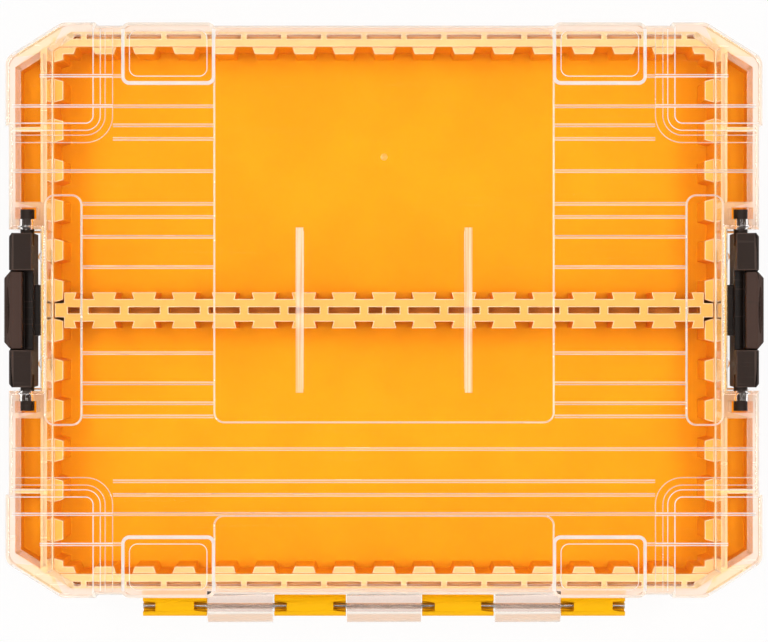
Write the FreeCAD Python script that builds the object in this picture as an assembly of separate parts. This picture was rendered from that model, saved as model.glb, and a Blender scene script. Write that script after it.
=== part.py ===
import FreeCAD
import Part
import os

# Bit case: a ribbed tray, a clear hinged lid, a drop-in divider and two side latches.
# Millimetres. +X is the long way, the hinge is on the -Y side, +Z is up.
# The origin is the middle of the tray's underside.

Vector = FreeCAD.Vector
ALONG_X = Vector(1, 0, 0)
ALONG_Y = Vector(0, 1, 0)
ALONG_Z = Vector(0, 0, 1)

# Clearances shared by the pieces
rim_gap = 0.3
seat_gap = 0.3
running_fit = 0.05
overrun = 1.0
same_place = 0.001

# Bit bars stand at this pitch along every wall and along the divider
pitch = 12.7

# Tray: an inner box with four corner wings, hollow above and below
tray_half_width = 106.8
tray_half_depth = 88.1
tray_height = 30.0
tray_floor = 2.2
tray_wall = 1.9
tray_foot_round = 1.6
wing_reach = 9.6
wing_wall = 1.2
wing_web = 1.6
wing_pocket_depth = 10.0
wing_pocket_floor = 2.0
wing_core_wall = 2.6
corner_cell_depth = 29.9
corner_cut_width = 17.5
corner_cut_depth = 11.0
corner_round = 4.0
latch_recess_half = 25.2

# Double wall along the front and the hinge side
channel_skin = 0.7
channel_width = 1.2
channel_depth = 3.5
channel_web = 1.9
channel_inner_skin = 2.6

# Posts that guide the bit bars
post_root = 7.6
post_tip = 6.0
post_drop = 2.0
long_post_reach = 2.2
side_post_reach = 3.0

# Ridge on the tray that each latch hooks under
ridge_reach = 2.3
ridge_half_length = 13.0
ridge_bottom = 20.0
ridge_flat = 1.5
ridge_slope = 2.5

# Divider
divider_half_thickness = 3.6
divider_drop = 1.0
divider_web = 2.8
divider_center_web = 1.0
divider_slot_half = 1.0
divider_slot_depth = 7.0
divider_end_wall = 1.2
tab_root = 6.3
tab_tip = 7.9
tab_reach = 2.1

# Lid shell
lid_height = 19.7
lid_overhang = 0.7
lid_wall = 2.0
lid_skin = 2.0
lid_edge_round = 1.2
lid_recess_step = 0.4
lid_bulge = 0.9

# Raised panels, pads and ribs on top of the lid
panel_rise = 0.8
panel_half_width = 53.2
panel_low_edge = 35.3
panel_round = 3.4
panel_ease = 0.6
tail_panel_depth = 25.0
pad_rise = 1.7
pad_inner = 52.5
pad_outer = 81.9
pad_depth = 19.5
pad_round = 2.6
pad_ease = 1.1
plateau_inset = 2.5
plateau_rise = 0.3
plateau_ease = 0.25
corner_pad_rise = 1.3
corner_pad_width = 27.1
corner_pad_depth = 31.2
corner_pad_round = 3.0
corner_pad_ease = 0.8
corner_step = 5.5
corner_step_shares = (1.0, 0.58, 0.31)
corner_step_rise_shares = (0.35, 0.55, 0.75)
corner_step_ease = 0.25
side_panel_width = 13.2
side_panel_half = 36.1
rib_width = 1.1
rib_rise = 0.55
rib_ease = 0.4
crossing_rib_rise = 0.35
side_rib_shares = (0.151, 0.257, 0.327, 0.373)
edge_rib_share = 0.488
corner_rib_shares = (0.601, 0.649)
pad_rib_share = 0.822
crossing_rib_share = 0.716
gate_radius = 1.1
gate_tip_radius = 0.6
gate_rise = 0.2
gate_place_share = 0.537

# Two hold-down bars that hang under the lid across the divider
bar_place = 25.2
bar_thickness = 2.35
bar_half_length = 25.8
bar_gap = 1.0
ledge_thickness = 1.4
ledge_half_length = 24.7
ledge_depth = 9.0

# Hinge
hinge_offset = 5.7
pin_radius = 0.9
tray_knuckle_radius = 3.2
lid_knuckle_radius = 5.2
knuckle_gap = 0.4
lid_mid_knuckle_half = 11.7
tray_inner_knuckle = 22.7
lid_outer_knuckle = 20.6
tray_outer_knuckle = 20.2
window_length = 4.0
window_half_width = 1.5
window_drop = 1.2

# Latch ears on the lid
ear_wall = 3.2
ear_pocket = 3.6
ear_back_wall = 1.8
ear_window_inset = 1.2
ear_window_width = 6.7
bump_radius = 2.2
bump_sink = 0.3
bump_place = 16.8
bump_height = 6.5

# Latch
pivot_offset = 4.8
pivot_height = 11.7
trunnion_radius = 2.2
trunnion_tip = 3.2
latch_side_gap = 1.0
slab_gap = 3.1
block_reach = 5.6
block_drop = 18.0
block_bevel = 1.6
latch_top_rise = 3.4
latch_top_bevel = 1.2
latch_end_bevel = 1.0
middle_drop = 2.5
trunnion_root = 4.0
grip_half_length = 12.1
grip_gap = 0.4
grip_root = 3.2
grip_reach = 7.3
grip_drop = 28.0
grip_rise = 2.6
grip_bevel = 2.4
grip_corner = 2.0
lip_height = 4.0
scoop_half_length = 8.4
scoop_depth = 2.2
scoop_height = 14.0
dimple_half_length = 7.4
dimple_half_width = 0.8
hook_half_length = 8.0
hook_wall_gap = 0.7
hook_gap = 0.3
hook_thickness = 3.7
spine_clear = 0.5
spine_wall_gap = 1.0
spine_thickness = 6.0
spine_top_drop = 5.0
spine_foot_rise = 1.0

# Places that follow from the sizes above
tray_inner_width = tray_half_width - tray_wall
tray_inner_depth = tray_half_depth - channel_skin - channel_width - channel_inner_skin
wing_half_width = tray_half_width + wing_reach
divider_half_length = tray_inner_width - side_post_reach - seat_gap
divider_top = tray_height - divider_drop
long_posts_each_way = int(tray_inner_width // pitch)
side_posts_each_way = int((tray_inner_depth + pitch / 2) // pitch)
tabs_each_way = int((divider_half_length + tab_tip / 2) // pitch)
lid_rim = tray_height + rim_gap
lid_top = lid_rim + lid_height
lid_half_width = wing_half_width + lid_overhang
lid_half_depth = tray_half_depth + lid_overhang
lid_recess_wall = tray_half_width + lid_recess_step
corner_pad_inner = lid_half_width - corner_pad_width
corner_pad_edge = lid_half_depth - corner_pad_depth
side_panel_inner = lid_recess_wall - side_panel_width
hinge_y = -tray_half_depth - hinge_offset
hinge_z = tray_height
pivot_x = lid_recess_wall + pivot_offset
pivot_z = lid_rim + pivot_height
hook_top = ridge_bottom - hook_gap
lid_mid_start = -lid_mid_knuckle_half
tray_inner_start = lid_mid_knuckle_half + knuckle_gap
lid_outer_start = tray_inner_start + tray_inner_knuckle + knuckle_gap
tray_outer_start = lid_outer_start + lid_outer_knuckle + knuckle_gap
hinge_half_length = tray_outer_start + tray_outer_knuckle


def block(x0, x1, y0, y1, z0, z1):
    """Box between two opposite corners."""
    return Part.makeBox(x1 - x0, y1 - y0, z1 - z0, Vector(x0, y0, z0))


def prism(points, z0, z1):
    """Upright prism on a closed outline of (x, y) points."""
    corners = [Vector(x, y, z0) for x, y in points]
    outline = Part.makePolygon(corners + corners[:1])
    return Part.Face(outline).extrude(ALONG_Z * (z1 - z0))


def side_prism(points, y0, y1):
    """Prism along Y on a closed outline of (x, z) points."""
    corners = [Vector(x, y0, z) for x, z in points]
    outline = Part.makePolygon(corners + corners[:1])
    return Part.Face(outline).extrude(ALONG_Y * (y1 - y0))


def upright_edges(shape):
    """Edges that run up the shape."""
    boxes = [(edge, edge.BoundBox) for edge in shape.Edges]
    return [edge for edge, box in boxes if box.ZLength > box.XLength + box.YLength]


def level_edges(shape, z):
    """Edges that lie in the plane at height z."""
    boxes = [(edge, edge.BoundBox) for edge in shape.Edges]
    return [edge for edge, box in boxes if abs(box.ZMin - z) + abs(box.ZMax - z) < same_place]


def rounded_block(x0, x1, y0, y1, z0, z1, radius):
    """Box with its four upright edges rounded."""
    box = block(x0, x1, y0, y1, z0, z1)
    return box.makeFillet(radius, upright_edges(box))


def eased_block(x0, x1, y0, y1, z0, z1, radius, ease):
    """Box with its upright edges rounded and its top edges bevelled."""
    box = rounded_block(x0, x1, y0, y1, z0, z1, radius)
    return box.makeChamfer(ease, level_edges(box, z1))


def octagon(half_width, half_depth):
    """Outline of a rectangle with its four corners cut off."""
    flat_x = half_width - corner_cut_width
    flat_y = half_depth - corner_cut_depth
    quarter = [(half_width, flat_y), (flat_x, half_depth)]
    upper = quarter + [(-x, y) for x, y in reversed(quarter)]
    return upper + [(-x, -y) for x, y in upper]


def rounded_octagon(half_width, half_depth, z0, z1):
    """Upright body of the case's outline with its corners rounded."""
    body = prism(octagon(half_width, half_depth), z0, z1)
    return body.makeFillet(corner_round, upright_edges(body))


def mirrored(shape, normal):
    """Mirror image through the origin."""
    return shape.mirror(Vector(0, 0, 0), normal)


def both_sides(shape):
    """A shape and its mirror image across the middle of the case."""
    return [shape, mirrored(shape, ALONG_X)]


def four_corners(shape):
    """A shape in all four quarters of the case."""
    pair = both_sides(shape)
    return pair + [mirrored(one, ALONG_Y) for one in pair]


def rod(radius, start, length, direction):
    """Round bar from a start point along a direction."""
    return Part.makeCylinder(radius, length, start, direction)


def joined(first, others):
    """One solid from touching solids, with no seams left on flat faces."""
    return first.multiFuse(others).removeSplitter()


def latch_recesses(out, z0, z1):
    """Cutters for the gaps between the wings where the latches hang."""
    far = lid_half_width + lid_bulge + overrun
    return both_sides(block(out, far, -latch_recess_half, latch_recess_half, z0, z1))


def lid_knuckle_spans():
    """Start and length of each lid knuckle along the pin."""
    outer = [(lid_outer_start, lid_outer_knuckle)]
    outer.append((-lid_outer_start - lid_outer_knuckle, lid_outer_knuckle))
    return outer + [(lid_mid_start, lid_mid_knuckle_half - lid_mid_start)]


def tray_knuckle_spans():
    """Start and length of each tray knuckle along the pin."""
    right = [(tray_inner_start, tray_inner_knuckle), (tray_outer_start, tray_outer_knuckle)]
    return right + [(-start - length, length) for start, length in right]


def pin_bore():
    """Cutter for the hinge pin's bore through every knuckle."""
    start = Vector(-hinge_half_length - overrun, hinge_y, hinge_z)
    return rod(pin_radius + running_fit, start, -start.x - start.x, ALONG_X)


def tray_posts():
    """Tapered posts along the four inner walls."""
    z0 = tray_floor
    z1 = tray_height - post_drop
    posts = []
    for step in range(-long_posts_each_way, long_posts_each_way + 1):
        x = step * pitch
        wall = tray_inner_depth
        tip = wall - long_post_reach
        points = [(x - post_root / 2, wall), (x - post_tip / 2, tip)]
        points += [(x + post_tip / 2, tip), (x + post_root / 2, wall)]
        post = prism(points, z0, z1)
        posts += [post, mirrored(post, ALONG_Y)]
    for step in range(side_posts_each_way):
        y = pitch / 2 + step * pitch
        wall = tray_inner_width
        tip = wall - side_post_reach
        points = [(wall, y - post_root / 2), (tip, y - post_tip / 2)]
        points += [(tip, y + post_tip / 2), (wall, y + post_root / 2)]
        posts += four_corners(prism(points, z0, z1))
    return posts


def tray_knuckles():
    """Hinge knuckles on the tray, notched at both ends so that the pin shows."""
    knuckles = []
    notches = []
    for start, length in tray_knuckle_spans():
        barrel = rod(tray_knuckle_radius, Vector(start, hinge_y, hinge_z), length, ALONG_X)
        low = hinge_z - tray_knuckle_radius
        arm = block(start, start + length, hinge_y, -tray_half_depth, low, hinge_z)
        knuckles.append(barrel.fuse(arm))
        for end in (start, start + length - window_length):
            near = hinge_y - window_half_width
            far = hinge_y + window_half_width
            top = hinge_z + tray_knuckle_radius + overrun
            notches.append(block(end, end + window_length, near, far, hinge_z - window_drop, top))
    return knuckles, notches


def channel_cells():
    """Cutters for the open cells inside the front and hinge-side walls."""
    cells = []
    half = (pitch - channel_web) / 2
    outer = tray_half_depth - channel_skin
    low = tray_height - channel_depth
    top = tray_height + overrun
    room = prism(octagon(wing_half_width - tray_wall, tray_half_depth - channel_skin), low, top)
    for step in range(-long_posts_each_way, long_posts_each_way + 1):
        x = step * pitch
        cell = block(x - half, x + half, outer - channel_width, outer, low, top).common(room)
        cells += [cell, mirrored(cell, ALONG_Y)]
    return cells


def wing_cells(half_width, half_depth, wall, inner, y0, z0, z1):
    """Cutters for the hollows of the corner wings outside the inner box."""
    room = prism(octagon(half_width - wall, half_depth - wall), z0, z1)
    quarter = room.common(block(inner, half_width, y0, half_depth, z0, z1))
    return four_corners(quarter)


def make_tray():
    """Tray with its wings, bit-bar posts, hinge knuckles and latch ridges."""
    top = tray_height + overrun
    body = rounded_octagon(wing_half_width, tray_half_depth, 0, tray_height)
    body = body.cut(latch_recesses(tray_half_width, -overrun, top))
    body = body.makeFillet(tray_foot_round, level_edges(body, 0))
    room = prism(octagon(wing_half_width - wing_wall, tray_half_depth - wing_wall), tray_floor, top)
    inside = block(-tray_inner_width, tray_inner_width, -tray_inner_depth, tray_inner_depth, tray_floor, top)
    pocket_low = tray_height - wing_pocket_depth
    pocket_start = latch_recess_half + wing_wall
    pockets = wing_cells(
        wing_half_width, tray_half_depth, wing_wall, tray_half_width, pocket_start, pocket_low, top
    )
    core_top = pocket_low - wing_pocket_floor
    core_start = latch_recess_half + wing_core_wall
    cores = wing_cells(
        wing_half_width, tray_half_depth, wing_core_wall, tray_half_width, core_start, -overrun, core_top
    )
    body = body.cut([room.common(inside)] + pockets + cores + channel_cells())
    web_end = tray_half_depth - corner_cell_depth
    web = block(
        tray_half_width, wing_half_width - wing_wall, web_end - wing_web, web_end, core_top, tray_height
    )
    ridge_points = [
        (tray_half_width, ridge_bottom),
        (tray_half_width + ridge_reach, ridge_bottom),
        (tray_half_width + ridge_reach, ridge_bottom + ridge_flat),
        (tray_half_width, ridge_bottom + ridge_flat + ridge_slope),
    ]
    ridge = side_prism(ridge_points, -ridge_half_length, ridge_half_length)
    knuckles, notches = tray_knuckles()
    body = joined(body, four_corners(web) + both_sides(ridge) + tray_posts() + knuckles)
    return body.cut(notches + [pin_bore()])


def make_divider():
    """Drop-in divider with dovetail tabs on both faces and open cells on top."""
    half_length = divider_half_length
    thick = divider_half_thickness
    body = block(-half_length, half_length, -thick, thick, tray_floor, divider_top)
    reach = thick + tab_reach
    room = block(-half_length, half_length, -reach, reach, tray_floor, divider_top)
    tongue_half = (pitch - post_root) / 2 - seat_gap
    tongue_end = tray_inner_width - seat_gap
    tongue = block(half_length, tongue_end, -tongue_half, tongue_half, tray_floor, divider_top)
    tabs = []
    cells = []
    cell_half = (pitch - divider_web) / 2
    for step in range(-tabs_each_way, tabs_each_way + 1):
        x = step * pitch
        points = [(x - tab_root / 2, thick), (x - tab_tip / 2, reach)]
        points += [(x + tab_tip / 2, reach), (x + tab_root / 2, thick)]
        tab = prism(points, tray_floor, divider_top).common(room)
        tabs += [tab, mirrored(tab, ALONG_Y)]
        x0 = max(x - cell_half, divider_end_wall - half_length)
        x1 = min(x + cell_half, half_length - divider_end_wall)
        z0 = divider_top - divider_slot_depth
        cells.append(block(x0, x1, -divider_slot_half, divider_slot_half, z0, divider_top + overrun))
    body = joined(body, tabs + both_sides(tongue)).cut(cells)
    web_half = divider_center_web / 2
    web = block(-web_half, web_half, -divider_slot_half, divider_slot_half, tray_floor, divider_top)
    return joined(body, [web])


def lid_shell():
    """Clear shell: top skin, outer wall, inner box and hollow wings with the latch ears."""
    low = lid_rim - overrun
    ceiling = lid_top - lid_skin
    body = rounded_octagon(lid_half_width, lid_half_depth, lid_rim, lid_top)
    body = body.cut(latch_recesses(lid_recess_wall, low, lid_top + overrun))
    body = body.makeFillet(lid_edge_round, level_edges(body, lid_top))
    room = prism(octagon(lid_half_width - lid_wall, lid_half_depth - lid_wall), low, ceiling)
    inner = lid_recess_wall - lid_wall
    inside = block(-inner, inner, -lid_half_depth, lid_half_depth, low, ceiling)
    wing_start = latch_recess_half + ear_wall + ear_pocket + ear_back_wall
    cells = wing_cells(
        lid_half_width, lid_half_depth, lid_wall, lid_recess_wall, wing_start, low, ceiling
    )
    return body.cut([room.common(inside)] + cells)


def lid_corner_pads():
    """Stepped pads over the four corners, standing proud of the outer wall."""
    mid_skin = lid_top - lid_skin / 2
    wide = lid_half_width + lid_bulge
    deep = lid_half_depth + lid_bulge
    high = lid_top + corner_pad_rise
    outer = rounded_octagon(wide, deep, lid_rim, high)
    outer = outer.makeFillet(lid_edge_round, level_edges(outer, high))
    hollow_wide = lid_half_width - lid_wall / 2
    hollow = prism(octagon(hollow_wide, lid_half_depth - lid_wall / 2), lid_rim, mid_skin)
    pad_zone = eased_block(
        corner_pad_inner,
        wide + wide,
        corner_pad_edge,
        deep + deep,
        lid_rim,
        high,
        corner_pad_round,
        corner_pad_ease,
    )
    pads = four_corners(outer.cut(hollow).common(pad_zone))
    inset = lid_edge_round
    floor_plan = octagon(lid_half_width - inset, lid_half_depth - inset)
    for reach_share, rise_share in zip(corner_step_shares, corner_step_rise_shares):
        reach = corner_step * reach_share
        step_high = lid_top + corner_pad_rise * rise_share
        step_zone = eased_block(
            corner_pad_inner - reach,
            wide + wide,
            corner_pad_edge - reach,
            deep + deep,
            mid_skin,
            step_high,
            corner_pad_round + reach,
            corner_step_ease,
        )
        pads += four_corners(prism(floor_plan, mid_skin, step_high).common(step_zone))
    return pads


def lid_edge_pads():
    """Four stacking pads, each with a low plateau, that wrap over the front and hinge-side edges."""
    mid_skin = lid_top - lid_skin / 2
    high = lid_top + pad_rise
    outer = lid_half_depth + lid_bulge
    inner = outer - pad_depth
    pad = eased_block(pad_inner, pad_outer, inner, outer, lid_rim, high, pad_round, pad_ease)
    wall_in = lid_half_depth - lid_wall / 2
    room = block(pad_inner - overrun, pad_outer + overrun, inner - overrun, wall_in, lid_rim, mid_skin)
    plateau = eased_block(
        pad_inner + plateau_inset,
        pad_outer - plateau_inset,
        inner + plateau_inset,
        outer - plateau_inset,
        mid_skin,
        high + plateau_rise,
        pad_round,
        plateau_ease,
    )
    return four_corners(pad.cut(room)) + four_corners(plateau)


def lid_panels():
    """Flat raised panels: two in the middle and one behind each latch."""
    mid_skin = lid_top - lid_skin / 2
    high = lid_top + panel_rise
    edge = lid_half_depth - lid_edge_round
    wide = panel_half_width
    ease = panel_ease
    main = eased_block(-wide, wide, -panel_low_edge, edge, mid_skin, high, panel_round, ease)
    tail_edge = lid_half_depth - tail_panel_depth
    tail = eased_block(-wide, wide, -edge, -tail_edge, mid_skin, high, panel_round, ease)
    side_end = lid_recess_wall - lid_edge_round
    side = eased_block(
        side_panel_inner, side_end, -side_panel_half, side_panel_half, mid_skin, high, panel_round, ease
    )
    gate_place = Vector(0, gate_place_share * lid_half_depth, high)
    gate = Part.makeCone(gate_radius, gate_tip_radius, gate_rise, gate_place, ALONG_Z)
    return [main, tail, gate] + both_sides(side)


def rib(x0, x1, share, rise):
    """One thin rib along X at a share of the lid's half depth."""
    y = share * lid_half_depth
    half = rib_width / 2
    low = lid_top - lid_skin / 2
    high = lid_top + rise
    left = [(y - half, low), (y - half, high - rib_ease), (y - half + rib_ease, high)]
    right = [(y + half - rib_ease, high), (y + half, high - rib_ease), (y + half, low)]
    corners = [Vector(x0, place, z) for place, z in left + right]
    outline = Part.makePolygon(corners + corners[:1])
    return Part.Face(outline).extrude(ALONG_X * (x1 - x0))


def lid_ribs():
    """Thin ribs across the lid, beside the panels and through the band below the main panel."""
    ribs = []
    edge = lid_half_width - lid_edge_round
    step_start = corner_pad_inner - corner_step
    for share in side_rib_shares:
        ribs += four_corners(rib(panel_half_width, side_panel_inner, share, rib_rise))
    ribs += four_corners(rib(panel_half_width, edge, edge_rib_share, rib_rise))
    for share in corner_rib_shares + (crossing_rib_share,):
        ribs += four_corners(rib(panel_half_width, step_start, share, rib_rise))
    over_pad = corner_pad_rise + crossing_rib_rise
    ribs += four_corners(rib(pad_outer, step_start, pad_rib_share, rib_rise))
    ribs += four_corners(rib(step_start, lid_recess_wall, pad_rib_share, over_pad))
    ribs += four_corners(rib(step_start, edge, crossing_rib_share, over_pad))
    for share in corner_rib_shares + (edge_rib_share, crossing_rib_share):
        ribs.append(rib(-panel_half_width, panel_half_width, -share, rib_rise))
    return ribs


def lid_bars():
    """Hold-down bars under the lid, each with a short ledge on its inner face."""
    mid_skin = lid_top - lid_skin / 2
    low = divider_top + bar_gap
    far = bar_place + bar_thickness
    bar = block(bar_place, far, -bar_half_length, bar_half_length, low, mid_skin)
    ledge_low = lid_top - lid_skin - ledge_depth
    near = bar_place - ledge_thickness
    ledge = block(near, bar_place, -ledge_half_length, ledge_half_length, ledge_low, mid_skin)
    return both_sides(bar) + both_sides(ledge)


def lid_knuckles():
    """Hinge knuckles on the lid with the arms that carry them."""
    knuckles = []
    for start, length in lid_knuckle_spans():
        barrel = rod(lid_knuckle_radius, Vector(start, hinge_y, hinge_z), length, ALONG_X)
        wall = lid_wall / 2 - lid_half_depth
        top = hinge_z + lid_knuckle_radius
        knuckles.append(barrel.fuse(block(start, start + length, hinge_y, wall, lid_rim, top)))
    return knuckles


def lid_bumps():
    """Half-round bumps on the wall behind each latch."""
    start = Vector(lid_recess_wall - bump_sink, bump_place, lid_rim)
    post = rod(bump_radius, start, bump_height, ALONG_Z)
    mid_wall = lid_recess_wall - lid_wall / 2
    far = lid_recess_wall + bump_radius
    low = bump_place - bump_radius
    zone = block(mid_wall, far, low, bump_place + bump_radius, lid_rim, lid_rim + bump_height)
    return four_corners(post.common(zone))


def ear_cutters():
    """Cutters for the trunnion bearings and the windows over the trunnion tips."""
    half = latch_recess_half + ear_wall + ear_pocket
    start = Vector(pivot_x, -half, pivot_z)
    bearing = rod(trunnion_radius + running_fit, start, half + half, ALONG_Y)
    near = latch_recess_half + ear_wall
    x0 = lid_recess_wall + ear_window_inset
    window = block(
        x0, x0 + ear_window_width, near, near + ear_pocket, lid_rim - overrun, lid_top + lid_bulge + overrun
    )
    return both_sides(bearing) + four_corners(window)


def make_lid():
    """Clear lid with its panels, pads, ribs, bars, hinge knuckles and latch ears."""
    features = lid_corner_pads() + lid_edge_pads() + lid_panels() + lid_ribs()
    features += lid_bars() + lid_knuckles() + lid_bumps()
    return joined(lid_shell(), features).cut(ear_cutters() + [pin_bore()])


def make_hinge_pin():
    """Steel pin through every knuckle."""
    start = Vector(-hinge_half_length, hinge_y, hinge_z)
    return rod(pin_radius, start, hinge_half_length + hinge_half_length, ALONG_X)


def latch_slab():
    """Full-length plate of the latch, bevelled outside and lowered in its middle."""
    half = latch_recess_half - latch_side_gap
    inner = lid_recess_wall + slab_gap
    outer = pivot_x + block_reach
    low = pivot_z - block_drop
    high = pivot_z + latch_top_rise
    points = [
        (inner, low),
        (outer - block_bevel, low),
        (outer, low + block_bevel),
        (outer, high - latch_top_bevel),
        (outer - latch_top_bevel, high),
        (inner, high),
    ]
    body = side_prism(points, -half, half)
    bevel = latch_end_bevel
    outline = [
        (inner, -half),
        (outer - bevel, -half),
        (outer, bevel - half),
        (outer, half - bevel),
        (outer - bevel, half),
        (inner, half),
    ]
    body = body.common(prism(outline, low, high))
    middle = grip_half_length + grip_gap
    return body.cut(block(inner, outer, -middle, middle, pivot_z - middle_drop, high))


def latch_grip():
    """Finger grip: a thick middle with a scooped face, a pull lip and a thumb dimple on top."""
    inner = lid_recess_wall + slab_gap + grip_root
    outer = pivot_x + grip_reach
    low = pivot_z - grip_drop
    high = pivot_z + grip_rise
    half = grip_half_length
    points = [
        (inner, low),
        (outer, low),
        (outer, high - grip_bevel),
        (outer - grip_bevel, high),
        (inner, high),
    ]
    body = side_prism(points, -half, half)
    outline = [
        (inner, -half),
        (outer - grip_corner, -half),
        (outer, grip_corner - half),
        (outer, half - grip_corner),
        (outer - grip_corner, half),
        (inner, half),
    ]
    body = body.common(prism(outline, low, high))
    radius = (scoop_half_length ** 2 + scoop_depth ** 2) / (scoop_depth + scoop_depth)
    center = Vector(outer + radius - scoop_depth, 0, low + lip_height)
    scoop = rod(radius, center, scoop_height, ALONG_Z)
    stretch = FreeCAD.Matrix()
    stretch.scale(Vector(dimple_half_width, dimple_half_length, dimple_half_width))
    dimple = Part.makeSphere(1).transformGeometry(stretch)
    dimple.translate(Vector(outer - grip_bevel / 2, 0, high - grip_bevel / 2))
    return body.cut([scoop, dimple])


def latch_hook():
    """Spine of the latch with the hook that reaches under the tray's ridge."""
    back = pivot_x + spine_thickness / 2
    foot_in = tray_half_width + ridge_reach + spine_clear
    spine_in = lid_recess_wall + spine_wall_gap
    hook_in = tray_half_width + hook_wall_gap
    foot_high = lid_rim + spine_foot_rise
    low = hook_top - hook_thickness
    high = pivot_z - spine_top_drop
    points = [
        (hook_in, low),
        (back, low),
        (back, high),
        (spine_in, high),
        (spine_in, foot_high),
        (foot_in, foot_high),
        (foot_in, hook_top),
        (hook_in, hook_top),
    ]
    return side_prism(points, -hook_half_length, hook_half_length)


def make_latch():
    """Latch on the +X side, closed, with its trunnions moulded on."""
    root = latch_recess_half - latch_side_gap - trunnion_root
    length = latch_recess_half + ear_wall + trunnion_tip - root
    trunnion = rod(trunnion_radius, Vector(pivot_x, root, pivot_z), length, ALONG_Y)
    trunnions = [trunnion, mirrored(trunnion, ALONG_Y)]
    return joined(latch_slab(), [latch_grip(), latch_hook()] + trunnions)


def main():
    """Build every piece and write it to its own file."""
    os.makedirs("parts", exist_ok=True)
    latch = make_latch()
    pieces = {
        "tray": make_tray(),
        "divider": make_divider(),
        "lid": make_lid(),
        "hinge_pin": make_hinge_pin(),
        "right_latch": latch,
        "left_latch": mirrored(latch, ALONG_X),
    }
    for name, shape in pieces.items():
        print(name, "solids", len(shape.Solids), "valid", shape.isValid(), "volume", round(shape.Volume))
        shape.exportStep("parts/" + name + ".step")


main()
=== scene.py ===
"""Looks of a flat bit case: yellow tray, clear hinged lid, steel pin and two black latches."""

import logging
import math
from dataclasses import dataclass
from enum import Enum, IntEnum

import bmesh
import bpy
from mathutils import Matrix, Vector


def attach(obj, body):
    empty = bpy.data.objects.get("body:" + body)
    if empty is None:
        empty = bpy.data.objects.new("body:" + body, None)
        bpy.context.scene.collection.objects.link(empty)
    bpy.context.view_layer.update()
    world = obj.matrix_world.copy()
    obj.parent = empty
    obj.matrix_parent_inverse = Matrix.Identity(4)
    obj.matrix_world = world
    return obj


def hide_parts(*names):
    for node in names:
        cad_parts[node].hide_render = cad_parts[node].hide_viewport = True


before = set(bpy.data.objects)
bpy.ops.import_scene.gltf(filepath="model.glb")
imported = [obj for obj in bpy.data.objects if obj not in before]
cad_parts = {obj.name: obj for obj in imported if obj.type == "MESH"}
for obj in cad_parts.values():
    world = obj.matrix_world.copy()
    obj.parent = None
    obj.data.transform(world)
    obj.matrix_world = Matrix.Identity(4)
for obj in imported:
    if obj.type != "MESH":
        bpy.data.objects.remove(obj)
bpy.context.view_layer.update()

MM = 0.001
log = logging.getLogger("bit_case")

Colour = tuple[float, float, float, float]
Point = tuple[float, float, float]
Socket = bpy.types.NodeSocket
Node = bpy.types.Node
Tree = bpy.types.NodeTree
Material = bpy.types.Material
Object = bpy.types.Object

CLEAR_TINT: Colour = (0.990, 0.965, 0.945, 1.0)
# Painted highlight: the pale colour laid on the rounded edges of the tray and divider, standing
# in for light caught by those edges.
EDGE_HIGHLIGHT: Colour = (0.99, 0.80, 0.52, 1.0)


class Slot(Enum):
    """Material slots of the record; each piece holds one, which nothing here reads."""

    TRAY = "tray_plastic"
    CLEAR = "clear_plastic"
    STEEL = "pin_steel"
    LATCH = "latch_plastic"


class Body(Enum):
    """Moving bodies of the case."""

    BASE = "base"
    LID = "lid"
    LEFT_LATCH = "left_latch"
    RIGHT_LATCH = "right_latch"


class LidFace(IntEnum):
    """Kinds of faces on the lid, numbered as its finishes are."""

    POLISHED = 0
    PAD_EDGE = 1
    OUTER_WALL = 2
    BAR_END = 3
    KNUCKLE = 4
    RIB_EDGE = 5
    INNER_WALL = 6
    OUTER_RIM = 7
    INNER_RIM = 8
    GATE = 9


def put_in_scene(name: str, data: bpy.types.ID) -> Object:
    """Puts a new object into the scene.

    Args:
        name: the object's name.
        data: its mesh, lamp or camera.

    Returns:
        The object.
    """
    thing = bpy.data.objects.new(name, data)
    bpy.context.scene.collection.objects.link(thing)
    return thing


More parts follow.
